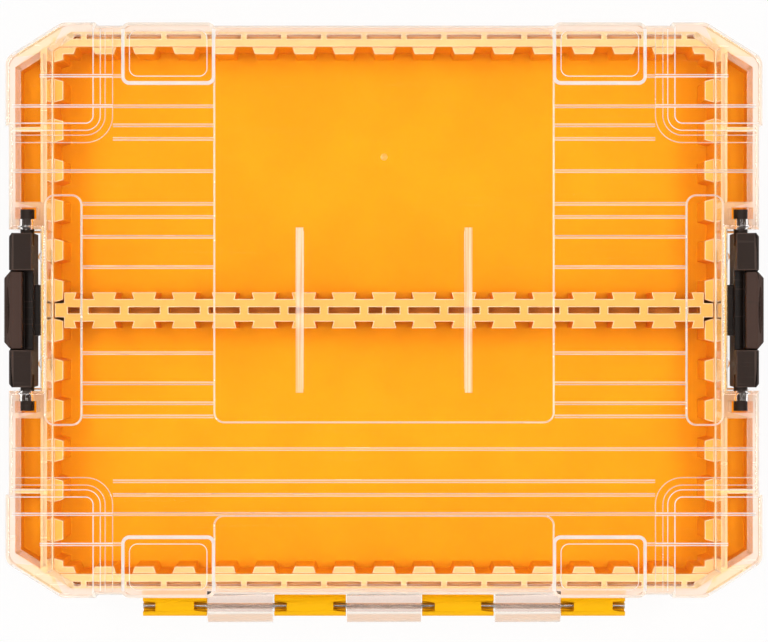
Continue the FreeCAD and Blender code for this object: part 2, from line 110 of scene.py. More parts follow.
class NodeSheet:
    """A node tree with short ways to add and join its nodes."""

    def __init__(self, tree: Tree) -> None:
        """Takes the tree that the nodes go into."""
        self.tree = tree

    def add(self, kind: str, values: dict[str, object] | None = None, **settings: object) -> Node:
        """Adds a node.

        Args:
            kind: Blender's name for the node's type.
            values: numbers and colours for the node's named inputs.
            settings: the node's own options.

        Returns:
            The new node.
        """
        node = self.tree.nodes.new(kind)
        for key, value in settings.items():
            setattr(node, key, value)
        for key, value in (values or {}).items():
            node.inputs[key].default_value = value
        return node

    def join(self, source: Socket, target: Socket) -> None:
        """Links an output to an input."""
        self.tree.links.new(source, target)

    def feed(self, source: Socket | float | Colour, target: Socket) -> None:
        """Links an output to an input, or sets the input.

        Args:
            source: an output, a number or a colour.
            target: the input.
        """
        if isinstance(source, Socket):
            self.join(source, target)
        else:
            target.default_value = source

    def math(self, operation: str, first: Socket | float, second: Socket | float) -> Socket:
        """Adds a Math node.

        Args:
            operation: the node's operation.
            first: an output or a number.
            second: an output or a number.

        Returns:
            The result's socket.
        """
        node = self.add("ShaderNodeMath", operation=operation)
        self.feed(first, node.inputs[0])
        self.feed(second, node.inputs[1])
        return node.outputs[0]

    def ramp(
        self, source: Socket, start: float, end: float, low: float = 0.0, high: float = 1.0
    ) -> Socket:
        """Maps a value smoothly from one range to another, clamped at both ends.

        Args:
            source: the value's socket.
            start: the value that gives low.
            end: the value that gives high.
            low: the result at start.
            high: the result at end.

        Returns:
            The result's socket.
        """
        limits = {"From Min": start, "From Max": end, "To Min": low, "To Max": high}
        node = self.add("ShaderNodeMapRange", limits, interpolation_type="SMOOTHSTEP")
        self.join(source, node.inputs["Value"])
        return node.outputs["Result"]

    def blend(self, share: Socket, first: Socket | Colour, second: Socket | Colour) -> Socket:
        """Mixes two colours.

        Args:
            share: how much of the second colour shows.
            first: a colour or a colour's socket.
            second: a colour or a colour's socket.

        Returns:
            The mixed colour's socket.
        """
        node = self.add("ShaderNodeMix", data_type="RGBA")
        colours = [socket for socket in node.inputs if socket.type == "RGBA"]
        self.join(share, node.inputs["Factor"])
        self.feed(first, colours[0])
        self.feed(second, colours[1])
        return next(socket for socket in node.outputs if socket.type == "RGBA")

    def mixed(self, share: Socket, first: Socket, second: Socket) -> Socket:
        """Mixes two shaders.

        Args:
            share: how much of the second shader shows.
            first: a shader's socket.
            second: a shader's socket.

        Returns:
            The mixed shader's socket.
        """
        node = self.add("ShaderNodeMixShader")
        for source, target in zip((share, first, second), node.inputs):
            self.join(source, target)
        return node.outputs["Shader"]


class SurfaceGroups:
    """Shader groups that several finishes share."""

    INPUTS = (("Place", "NodeSocketVector"), ("Scale", "NodeSocketFloat"))
    SLOW_SHARE = 0.008
    SLOW_RANGE = (0.3, 0.7)
    LINE_TURNS = (0.5, 2.1)
    LINE_STRETCH = 0.04
    LINE_RANGE = (0.62, 0.74)

    def __init__(self) -> None:
        """Builds each group once."""
        self.grain = self._grain()
        self.hairlines = self._hairlines()

    def _start(self, name: str, outputs: tuple[str, ...]) -> NodeSheet:
        """Makes an empty shader group.

        Args:
            name: the group's name.
            outputs: names of the float outputs.

        Returns:
            A sheet for the group's tree.
        """
        tree = bpy.data.node_groups.new(name, "ShaderNodeTree")
        for label, kind in self.INPUTS:
            tree.interface.new_socket(label, in_out="INPUT", socket_type=kind)
        for label in outputs:
            tree.interface.new_socket(label, in_out="OUTPUT", socket_type="NodeSocketFloat")
        return NodeSheet(tree)

    def _grain(self) -> Tree:
        """Fine mould grain with a slow change of tone under it.

        Returns:
            The group.
        """
        sheet = self._start("mould_grain", ("Tone", "Height"))
        source = sheet.add("NodeGroupInput")
        result = sheet.add("NodeGroupOutput")
        fine = sheet.add("ShaderNodeTexNoise", {"Detail": 3.0, "Roughness": 0.6})
        slow = sheet.add("ShaderNodeTexNoise", {"Detail": 2.0, "Roughness": 0.5})
        for noise in (fine, slow):
            sheet.join(source.outputs["Place"], noise.inputs["Vector"])
        sheet.join(source.outputs["Scale"], fine.inputs["Scale"])
        slow_scale = sheet.math("MULTIPLY", source.outputs["Scale"], self.SLOW_SHARE)
        sheet.join(slow_scale, slow.inputs["Scale"])
        sheet.join(fine.outputs["Fac"], result.inputs["Height"])
        sheet.join(sheet.ramp(slow.outputs["Fac"], *self.SLOW_RANGE), result.inputs["Tone"])
        return sheet.tree

    def _hairlines(self) -> Tree:
        """Sparse fine scratches that run in two directions.

        Returns:
            The group.
        """
        sheet = self._start("hairlines", ("Mask",))
        source = sheet.add("NodeGroupInput")
        result = sheet.add("NodeGroupOutput")
        masks = []
        for turn in self.LINE_TURNS:
            values = {"Rotation": (0.0, 0.0, turn), "Scale": (self.LINE_STRETCH, 1.0, 1.0)}
            place = sheet.add("ShaderNodeMapping", values)
            sheet.join(source.outputs["Place"], place.inputs["Vector"])
            noise = sheet.add("ShaderNodeTexNoise", {"Detail": 2.0, "Roughness": 0.7})
            sheet.join(place.outputs["Vector"], noise.inputs["Vector"])
            sheet.join(source.outputs["Scale"], noise.inputs["Scale"])
            masks.append(sheet.ramp(noise.outputs["Fac"], *self.LINE_RANGE))
        sheet.join(sheet.math("MAXIMUM", masks[0], masks[1]), result.inputs["Mask"])
        return sheet.tree


@dataclass(frozen=True)
class Skin:
    """Roughness and relief of a grained surface."""

    smoothest: float
    roughest: float
    strength: float
    depth: float
    grain_range: tuple[float, float] = (0.2, 0.8)


class Finish:
    """A material in the making."""

    def __init__(self, name: str) -> None:
        """Makes the empty material.

        Args:
            name: the material's name.
        """
        self.material = bpy.data.materials.new(name)
        self.material.use_nodes = True
        self.material.node_tree.nodes.clear()
        self.sheet = NodeSheet(self.material.node_tree)
        self.place = self.sheet.add("ShaderNodeTexCoord").outputs["Object"]

    def axes(self) -> Node:
        """Splits the surface's own coordinates.

        Returns:
            The node with the outputs X, Y and Z.
        """
        node = self.sheet.add("ShaderNodeSeparateXYZ")
        self.sheet.join(self.place, node.inputs["Vector"])
        return node

    def stretched(self, scale: Point) -> Socket:
        """Draws out the surface's own coordinates.

        Args:
            scale: the share of each axis, small where a pattern is drawn out.

        Returns:
            The new coordinates' socket.
        """
        node = self.sheet.add("ShaderNodeMapping", {"Scale": scale})
        self.sheet.join(self.place, node.inputs["Vector"])
        return node.outputs["Vector"]

    def group(self, tree: Tree, scale: float, place: Socket | None = None) -> Node:
        """Puts a shared group into the material.

        Args:
            tree: the group.
            scale: size of the group's pattern, in features for each metre.
            place: other coordinates than the surface's own.

        Returns:
            The group's node.
        """
        node = self.sheet.add("ShaderNodeGroup", node_tree=tree)
        self.sheet.join(place or self.place, node.inputs["Place"])
        node.inputs["Scale"].default_value = scale
        return node

    def bump(self, height: Socket, strength: float, depth: float) -> Socket:
        """Turns a height into a normal.

        Args:
            height: the height's socket.
            strength: how much of the bump shows.
            depth: how deep the bump is, in metres.

        Returns:
            The normal's socket.
        """
        node = self.sheet.add("ShaderNodeBump", {"Strength": strength, "Distance": depth})
        self.sheet.join(height, node.inputs["Height"])
        return node.outputs["Normal"]

    def grained(self, shader: Node, height: Socket, skin: Skin) -> Material:
        """Gives a shader its roughness and relief, and ends the material with it.

        Args:
            shader: the shader's node.
            height: the grain's height.
            skin: the roughness and relief.

        Returns:
            The finished material.
        """
        rough = self.sheet.ramp(height, *skin.grain_range, skin.smoothest, skin.roughest)
        self.sheet.join(rough, shader.inputs["Roughness"])
        self.sheet.join(self.bump(height, skin.strength, skin.depth), shader.inputs["Normal"])
        return self.close(shader.outputs["BSDF"])

    def close(self, surface: Socket) -> Material:
        """Ends the material.

        Args:
            surface: the shader's socket.

        Returns:
            The finished material.
        """
        output = self.sheet.add("ShaderNodeOutputMaterial")
        self.sheet.join(surface, output.inputs["Surface"])
        return self.material


@dataclass(frozen=True)
class TrayPlastic:
    """Satin yellow plastic, with painted sheen on its crowns and painted light on its hinge
    knuckles.
    """

    name: str = "tray_yellow"
    body: Colour = (0.960, 0.412, 0.0030, 1.0)
    deep: Colour = (0.935, 0.380, 0.0022, 1.0)
    # Painted sheen: crown and side_crown make the tops paler than the plastic, standing in for
    # the light they reflect; crown, the paler one, goes over the long walls and beside the
    # latches.
    crown: Colour = (0.985, 0.680, 0.310, 1.0)
    side_crown: Colour = (0.980, 0.545, 0.110, 1.0)
    # Painted light: hinge is a brighter yellow laid on the knuckles outside the lid, standing in
    # for the light falling on them.
    hinge: Colour = (1.0, 0.500, 0.0010, 1.0)
    crown_low: float = 22.0 * MM
    crown_high: float = 27.9 * MM
    crown_back: float = 88.4 * MM
    level_range: tuple[float, float] = (0.1, 0.6)
    # Painted light: side_share of the crown colour is laid on the upper inner sides of the walls
    # and posts, so that they look as lit as the floor.
    side_share: float = 0.35
    long_wall_near: float = 72.0 * MM
    long_wall_far: float = 79.0 * MM
    side_wall_near: float = 104.95 * MM
    side_wall_far: float = 105.2 * MM
    inner_depth: float = 82.6 * MM
    recess_near: float = 24.5 * MM
    recess_far: float = 26.0 * MM
    blur: float = 0.4 * MM
    unscuffed_share: float = 0.92
    skin: Skin = Skin(0.52, 0.66, 0.15, 0.03 * MM)
    index: float = 1.49
    gloss: float = 0.1
    grain_scale: float = 5200.0
    line_scale: float = 650.0

    def material(self, groups: SurfaceGroups) -> Material:
        """Makes the material.

        Args:
            groups: the shared shader groups.

        Returns:
            The finished material.
        """
        finish = Finish(self.name)
        sheet, axes = finish.sheet, finish.axes()
        grain = finish.group(groups.grain, self.grain_scale)
        lines = finish.group(groups.hairlines, self.line_scale)
        # Painted light: the knuckles outside the lid take the brighter hinge yellow.
        hinge_edge = -self.crown_back - self.blur
        under_lid = sheet.ramp(axes.outputs["Y"], hinge_edge, -self.crown_back)
        shaded = sheet.blend(grain.outputs["Tone"], self.body, self.deep)
        yellow = self._with_hollow_shade(sheet, axes, sheet.blend(under_lid, self.hinge, shaded))
        # Painted sheen on the tops, laid over the yellow.
        top, tone = self._crown_masks(sheet, axes, lines.outputs["Mask"])
        mask = sheet.math("MULTIPLY", top, under_lid)
        crown = sheet.blend(tone, self.side_crown, self.crown)
        values = {"IOR": self.index, "Specular IOR Level": self.gloss}
        shader = sheet.add("ShaderNodeBsdfPrincipled", values)
        sheet.join(sheet.blend(mask, yellow, crown), shader.inputs["Base Color"])
        return finish.grained(shader, grain.outputs["Height"], self.skin)

    def _with_hollow_shade(self, sheet: NodeSheet, axes: Node, yellow: Socket) -> Socket:
        """The plastic's colour, with no painted shade in its hollows."""
        return yellow

    def _crown_masks(self, sheet: NodeSheet, axes: Node, scuffs: Socket) -> tuple[Socket, Socket]:
        """Finds the level tops of the walls, posts and divider, where the painted sheen goes, and
        a share of their sides.

        Args:
            sheet: the material's sheet.
            axes: the node that splits the surface's own coordinates.
            scuffs: mask of the fine scratches.

        Returns:
            Sockets of the mask, and of how far the paler of the two crown colours shows.
        """
        facing = sheet.add("ShaderNodeSeparateXYZ")
        normal = sheet.add("ShaderNodeNewGeometry").outputs["Normal"]
        sheet.join(normal, facing.inputs["Vector"])
        wide = sheet.math("ABSOLUTE", axes.outputs["X"], 0.0)
        deep = sheet.math("ABSOLUTE", axes.outputs["Y"], 0.0)
        side_wall = sheet.ramp(wide, self.side_wall_near, self.side_wall_far)
        outer_wall = sheet.ramp(deep, self.inner_depth, self.inner_depth + self.blur)
        outside = sheet.math("MAXIMUM", side_wall, outer_wall)
        # Painted light on the upper inner sides.
        sides = sheet.ramp(outside, 0.0, 1.0, self.side_share, 0.0)
        level = sheet.math("MAXIMUM", sheet.ramp(facing.outputs["Z"], *self.level_range), sides)
        high = sheet.ramp(axes.outputs["Z"], self.crown_low, self.crown_high)
        mask = sheet.math("MULTIPLY", high, level)
        scuffed = sheet.ramp(scuffs, 0.0, 1.0, self.unscuffed_share, 1.0)
        long_wall = sheet.ramp(deep, self.long_wall_near, self.long_wall_far)
        beside_latch = sheet.ramp(deep, self.recess_near, self.recess_far)
        pale_side = sheet.math("MULTIPLY", side_wall, beside_latch)
        tone = sheet.math("MAXIMUM", long_wall, pale_side)
        return sheet.math("MULTIPLY", mask, scuffed), tone


@dataclass(frozen=True)
class RailPlastic(TrayPlastic):
    """The tray's plastic on the divider, with painted shade browning the cells on its top."""

    name: str = "divider_yellow"
    # Painted sheen on the divider's top.
    side_crown: Colour = (0.980, 0.500, 0.130, 1.0)
    side_share: float = 0.0
    # Painted shade: cell is the dark brown laid in the deep narrow cells on the divider's top.
    cell: Colour = (0.780, 0.275, 0.0300, 1.0)
    cell_reach: float = 101.0 * MM
    cell_half: float = 1.1 * MM
    cell_low: float = 20.0 * MM
    cell_high: float = 28.6 * MM

    def _with_hollow_shade(self, sheet: NodeSheet, axes: Node, yellow: Socket) -> Socket:
        """The plastic's colour, darkened brown in the cells by painted shade.

        Args:
            sheet: the material's sheet.
            axes: the node that splits the surface's own coordinates.
            yellow: the colour elsewhere.

        Returns:
            The colour's socket.
        """
        along = sheet.math("ABSOLUTE", axes.outputs["X"], 0.0)
        across = sheet.math("ABSOLUTE", axes.outputs["Y"], 0.0)
        short = sheet.math("LESS_THAN", along, self.cell_reach)
        narrow = sheet.math("LESS_THAN", across, self.cell_half)
        sunk = sheet.ramp(axes.outputs["Z"], self.cell_high, self.cell_high - self.blur)
        raised = sheet.math("GREATER_THAN", axes.outputs["Z"], self.cell_low)
        within = sheet.math("MULTIPLY", short, narrow)
        painted_cell_shade = sheet.math("MULTIPLY", within, sheet.math("MULTIPLY", sunk, raised))
        return sheet.blend(painted_cell_shade, yellow, self.cell)


@dataclass(frozen=True)
class ClearPlastic:
    """Clear plastic, polished on its faces or frosted on its edges."""

    name: str
    tint: Colour = CLEAR_TINT
    clarity: float = 1.0
    smooth: float = 0.015
    scuffed: float = 0.09
    index: float = 1.49
    shade: Colour = (0.95, 0.95, 0.945, 1.0)
    line_scale: float = 420.0
    wave_strength: float = 0.04
    wave_depth: float = 0.4 * MM

    def material(self, groups: SurfaceGroups) -> Material:
        """Makes the material, which lets the lamps' light through to the tray.

        Args:
            groups: the shared shader groups.

        Returns:
            The finished material.
        """
        finish = Finish(self.name)
        sheet = finish.sheet
        lines = finish.group(groups.hairlines, self.line_scale)
        grain = finish.group(groups.grain, self.line_scale)
        rough = sheet.ramp(lines.outputs["Mask"], 0.0, 1.0, self.smooth, self.scuffed)
        normal = finish.bump(grain.outputs["Tone"], self.wave_strength, self.wave_depth)
        surface = self._surface(finish, rough, normal)
        through = sheet.add("ShaderNodeBsdfTransparent", {"Color": self.shade})
        shadow = sheet.add("ShaderNodeLightPath").outputs["Is Shadow Ray"]
        return finish.close(sheet.mixed(shadow, surface, through.outputs["BSDF"]))

    def _plastic(
        self, finish: Finish, look: tuple[Colour, float], rough: Socket, normal: Socket
    ) -> Socket:
        """Adds the shader of one plastic.

        Args:
            finish: the material in the making.
            look: its tint and its clarity.
            rough: the roughness's socket.
            normal: the normal's socket.

        Returns:
            The shader's socket.
        """
        values = {"Base Color": look[0], "IOR": self.index, "Transmission Weight": look[1]}
        shader = finish.sheet.add("ShaderNodeBsdfPrincipled", values)
        finish.sheet.join(rough, shader.inputs["Roughness"])
        finish.sheet.join(normal, shader.inputs["Normal"])
        return shader.outputs["BSDF"]

    def _surface(self, finish: Finish, rough: Socket, normal: Socket) -> Socket:
        """Adds the surface, the same all over."""
        return self._plastic(finish, (self.tint, self.clarity), rough, normal)


@dataclass(frozen=True)
class MixedPlastic(ClearPlastic):
    """Clear plastic that is pale and milky on a share of its surface."""

    face_tint: Colour = CLEAR_TINT

    def _milky_share(self, finish: Finish) -> Socket:
        """How milky the surface is, which each kind of this plastic says."""
        raise NotImplementedError

    def _surface(self, finish: Finish, rough: Socket, normal: Socket) -> Socket:
        """Adds the surface.

        Args:
            finish: the material in the making.
            rough: the roughness's socket.
            normal: the normal's socket.

        Returns:
            The mixed shader's socket.
        """
        share = self._milky_share(finish)
        clear = self._plastic(finish, (self.face_tint, 1.0), rough, normal)
        milky = self._plastic(finish, (self.tint, self.clarity), rough, normal)
        return finish.sheet.mixed(share, clear, milky)


@dataclass(frozen=True)
class EdgeLitPlastic(MixedPlastic):
    """Clear plastic that shows clear face on, and pale and milky along its length."""

    smooth: float = 0.02
    scuffed: float = 0.06
    edge_start: float = 0.5
    edge_full: float = 0.82

    def _milky_share(self, finish: Finish) -> Socket:
        """Milky where the surface turns away from the eye."""
        turned = finish.sheet.add("ShaderNodeLayerWeight", {"Blend": 0.5}).outputs["Facing"]
        return finish.sheet.ramp(turned, self.edge_start, self.edge_full)


@dataclass(frozen=True)
class RimPlastic(MixedPlastic):
    """Milky plastic of the lid's inner rim, which is clear beside the latches."""

    recess_near: float = 24.5 * MM
    recess_far: float = 26.0 * MM

    def _milky_share(self, finish: Finish) -> Socket:
        """Milky everywhere but beside the latches."""
        across = finish.sheet.math("ABSOLUTE", finish.axes().outputs["Y"], 0.0)
        return finish.sheet.ramp(across, self.recess_near, self.recess_far)


@dataclass(frozen=True)
class BarPlastic(ClearPlastic):
    """Milky plastic on the ends of the hold-down bars, streaked along their length."""

    streak: Colour = (1.0, 0.66, 0.34, 1.0)
    streak_scale: float = 1500.0
    streak_stretch: float = 0.01
    streak_range: tuple[float, float] = (0.43, 0.6)

    def _surface(self, finish: Finish, rough: Socket, normal: Socket) -> Socket:
        """Adds the surface with its streaks.

        Args:
            finish: the material in the making.
            rough: the roughness's socket.
            normal: the normal's socket.

        Returns:
            The shader's socket.
        """
        sheet = finish.sheet
        values = {"Scale": self.streak_scale, "Detail": 2.0, "Roughness": 0.5}
        noise = sheet.add("ShaderNodeTexNoise", values)
        sheet.join(finish.stretched((1.0, self.streak_stretch, 1.0)), noise.inputs["Vector"])
        share = sheet.ramp(noise.outputs["Fac"], *self.streak_range)
        surface = self._plastic(finish, (self.tint, self.clarity), rough, normal)
        streaks = sheet.blend(share, self.tint, self.streak)
        sheet.join(streaks, surface.node.inputs["Base Color"])
        return surface


@dataclass(frozen=True)
class LatchPlastic:
    """Semi-gloss black plastic with a fine grain, painted lighter on its higher parts and on the
    grip's top.
    """

    name: str = "latch_black"
    body: Colour = (0.0110, 0.0060, 0.0040, 1.0)
    # Painted light: the black turns to this lighter colour towards the top of the latch, so the
    # lower hook looks shaded and the upper parts lit.
    painted_highlight: Colour = (0.0462, 0.0236, 0.0154, 1.0)
    painted_highlight_low: float = 41.0 * MM
    painted_highlight_high: float = 50.0 * MM
    # Painted sheen: this lighter colour is laid on the top of the grip.
    grip_sheen: Colour = (0.0700, 0.0360, 0.0260, 1.0)
    grip_sheen_half: float = 12.1 * MM
    grip_sheen_blur: float = 0.1 * MM
    grip_sheen_low: float = 41.0 * MM
    grip_sheen_high: float = 44.0 * MM
    worn: Colour = (0.0520, 0.0330, 0.0260, 1.0)
    skin: Skin = Skin(0.41, 0.56, 0.2, 0.03 * MM)
    index: float = 1.5
    gloss: float = 0.16
    scuff_share: float = 0.6
    grain_scale: float = 4200.0
    line_scale: float = 840.0

    def material(self, groups: SurfaceGroups) -> Material:
        """Makes the material.

        Args:
            groups: the shared shader groups.

        Returns:
            The finished material.
        """
        finish = Finish(self.name)
        sheet, axes = finish.sheet, finish.axes()
        grain = finish.group(groups.grain, self.grain_scale)
        lines = finish.group(groups.hairlines, self.line_scale)
        values = {"IOR": self.index, "Specular IOR Level": self.gloss}
        shader = sheet.add("ShaderNodeBsdfPrincipled", values)
        # Painted light lighter towards the top, and painted sheen on the grip.
        high = sheet.ramp(axes.outputs["Z"], self.painted_highlight_low, self.painted_highlight_high)
        black = sheet.blend(high, self.body, self.painted_highlight)
        tone = sheet.blend(self._grip_mask(sheet, axes), black, self.grip_sheen)
        scuffs = sheet.ramp(lines.outputs["Mask"], 0.0, 1.0, 0.0, self.scuff_share)
        sheet.join(sheet.blend(scuffs, tone, self.worn), shader.inputs["Base Color"])
        return finish.grained(shader, grain.outputs["Height"], self.skin)

    def _grip_mask(self, sheet: NodeSheet, axes: Node) -> Socket:
        """Finds the top of the grip, where the painted sheen goes.

        Args:
            sheet: the material's sheet.
            axes: the node that splits the surface's own coordinates.

        Returns:
            Socket of the mask.
        """
        across = sheet.math("ABSOLUTE", axes.outputs["Y"], 0.0)
        near, far = self.grip_sheen_half - self.grip_sheen_blur, self.grip_sheen_half + self.grip_sheen_blur
        middle = sheet.ramp(across, far, near)
        high = sheet.ramp(axes.outputs["Z"], self.grip_sheen_low, self.grip_sheen_high)
        return sheet.math("MULTIPLY", middle, high)


@dataclass(frozen=True)
class DrawnSteel:
    """Bright steel wire with drawing marks along its length."""

    name: str = "drawn_steel"
    light: Colour = (0.70, 0.70, 0.71, 1.0)
    dark: Colour = (0.52, 0.51, 0.51, 1.0)
    skin: Skin = Skin(0.18, 0.36, 0.3, 0.02 * MM)
    mark_scale: float = 2600.0
    mark_stretch: float = 0.03

    def material(self, groups: SurfaceGroups) -> Material:
        """Makes the material.

        Args:
            groups: the shared shader groups.

        Returns:
            The finished material.
        """
        finish = Finish(self.name)
        sheet = finish.sheet
        along = finish.stretched((self.mark_stretch, 1.0, 1.0))
        marks = finish.group(groups.grain, self.mark_scale, along)
        shader = sheet.add("ShaderNodeBsdfPrincipled", {"Metallic": 1.0})
        steel = sheet.blend(marks.outputs["Height"], self.light, self.dark)
        sheet.join(steel, shader.inputs["Base Color"])
        return finish.grained(shader, marks.outputs["Height"], self.skin)


# Painted highlight: the lighter colour that the rounded edges of the latches turn to towards
# their top.
EDGE_HIGHLIGHT_BLACK = (0.16, 0.10, 0.078, 1.0)
WORN_SKIN = Skin(0.37, 0.52, 0.2, 0.03 * MM)
# Painted light: the peach, pink and yellow tints of the outer and inner walls, knuckles and rims
# stand in for the yellow tray's light bounced into and seen through the clear lid.
LID_PLASTICS: dict[LidFace, ClearPlastic] = {
    LidFace.POLISHED: ClearPlastic("lid_clear"),
    LidFace.PAD_EDGE: ClearPlastic(
        "lid_frosted", tint=(0.96, 0.95, 0.93, 1.0), clarity=0.22, smooth=0.3, scuffed=0.45
    ),
    LidFace.OUTER_WALL: EdgeLitPlastic("lid_dull", tint=(0.995, 0.94, 0.89, 1.0), clarity=0.86),
    LidFace.BAR_END: BarPlastic("lid_milky", clarity=0.52, smooth=0.3, scuffed=0.45),
    LidFace.KNUCKLE: ClearPlastic(
        "lid_knuckle", tint=(0.87, 0.73, 0.655, 1.0), clarity=0.93, smooth=0.05, scuffed=0.15
    ),
    LidFace.RIB_EDGE: ClearPlastic(
        "lid_rib", tint=(0.985, 0.93, 0.84, 1.0), clarity=0.45, smooth=0.2, scuffed=0.35
    ),
    LidFace.INNER_WALL: EdgeLitPlastic(
        "lid_inner_wall", tint=(1.0, 0.92, 0.80, 1.0), clarity=0.9
    ),
    LidFace.OUTER_RIM: ClearPlastic(
        "lid_rim", tint=(0.985, 0.77, 0.63, 1.0), clarity=0.4, smooth=0.15, scuffed=0.3
    ),
    LidFace.INNER_RIM: RimPlastic(
        "lid_inner_rim", tint=(1.0, 0.79, 0.48, 1.0), clarity=0.5, smooth=0.15, scuffed=0.3
    ),
    LidFace.GATE: ClearPlastic("lid_gate", clarity=0.95, smooth=0.3, scuffed=0.45),
}


@dataclass
class Moulding:
    """A piece of the case, made from a solid with its long sharp edges rounded."""

    node: str
    name: str
    body: Body
    slot: Slot
    radius: float
    segments: int = 2
    shortest_share: float = 2.5
    sharp_angle: float = math.radians(30.0)
    flat_angle: float = math.radians(0.5)
    same_place: float = 0.002 * MM

    def shape(self) -> Object:
        """Copies the solid's mesh, closes it and marks the edges to round.

        Returns:
            The piece's object, with its edges marked and not yet rounded.
        """
        solid = bmesh.new()
        solid.from_mesh(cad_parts[self.node].data)
        bmesh.ops.remove_doubles(solid, verts=solid.verts, dist=self.same_place)
        if self.radius > 0.0:
            bmesh.ops.dissolve_limit(
                solid, angle_limit=self.flat_angle, verts=solid.verts, edges=solid.edges
            )
        weight = solid.edges.layers.float.new("bevel_weight_edge")
        for edge in solid.edges:
            if edge.calc_face_angle() > self.sharp_angle:
                edge.smooth = not self.stays_sharp(edge)
                edge[weight] = 1.0 if edge.smooth else 0.0
        for face in solid.faces:
            face.smooth = True
            face.material_index = self.finish_at(face)
        mesh = bpy.data.meshes.new(self.name + "_solid")
        solid.to_mesh(mesh)
        solid.free()
        return put_in_scene(self.name, mesh)

    def stays_sharp(self, edge: bmesh.types.BMEdge) -> bool:
        """True for an edge that is too short to round, or if nothing is rounded."""
        return self.radius <= 0.0 or edge.calc_length() < self.shortest_share * self.radius

    def finish_at(self, face: bmesh.types.BMFace) -> int:
        """Index of the finish that a face of the solid has."""
        return 0

    def round_edges(self, piece: Object, edge_finish: int) -> None:
        """Rounds the marked edges.

        Args:
            piece: the piece's object.
            edge_finish: index of the finish on the rounded edges.
        """
        bevel = piece.modifiers.new("rounding", "BEVEL")
        bevel.width = self.radius
        bevel.segments = self.segments
        bevel.limit_method = "WEIGHT"
        bevel.offset_type = "OFFSET"
        bevel.use_clamp_overlap = False
        bevel.material = edge_finish

    def build(self, finishes: list[Material]) -> Object:
        """Builds and dresses the piece.

        Args:
            finishes: its materials, the last of them on its rounded edges.

        Returns:
            The finished piece.
        """
        piece = self.shape()
        if self.radius > 0.0:
            self.round_edges(piece, len(finishes) - 1)
        return self.settle(piece, finishes)

    def settle(self, piece: Object, finishes: list[Material]) -> Object:
        """Makes the piece a plain dressed mesh, and seats it on its body.

        Args:
            piece: the piece's object with its modifiers.
            finishes: its materials, in the order of their indices.

        Returns:
            The finished piece.
        """
        normals = piece.modifiers.new("flat_faces", "WEIGHTED_NORMAL")
        normals.keep_sharp = True
        for finish in finishes:
            piece.data.materials.append(finish)
        bpy.context.view_layer.update()
        graph = bpy.context.evaluated_depsgraph_get()
        evaluated = piece.evaluated_get(graph)
        mesh = bpy.data.meshes.new_from_object(
            evaluated, preserve_all_data_layers=True, depsgraph=graph
        )
        mesh.name = self.name
        rough = piece.data
        piece.modifiers.clear()
        piece.data = mesh
        bpy.data.meshes.remove(rough)
        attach(piece, self.body.value)
        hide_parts(self.node)
        return piece


@dataclass
class Tray(Moulding):
    """Yellow tray with its posts, wings and hinge knuckles."""

    node: str = "tray"
    name: str = "yellow_tray"
    body: Body = Body.BASE
    slot: Slot = Slot.TRAY
    radius: float = 0.3 * MM


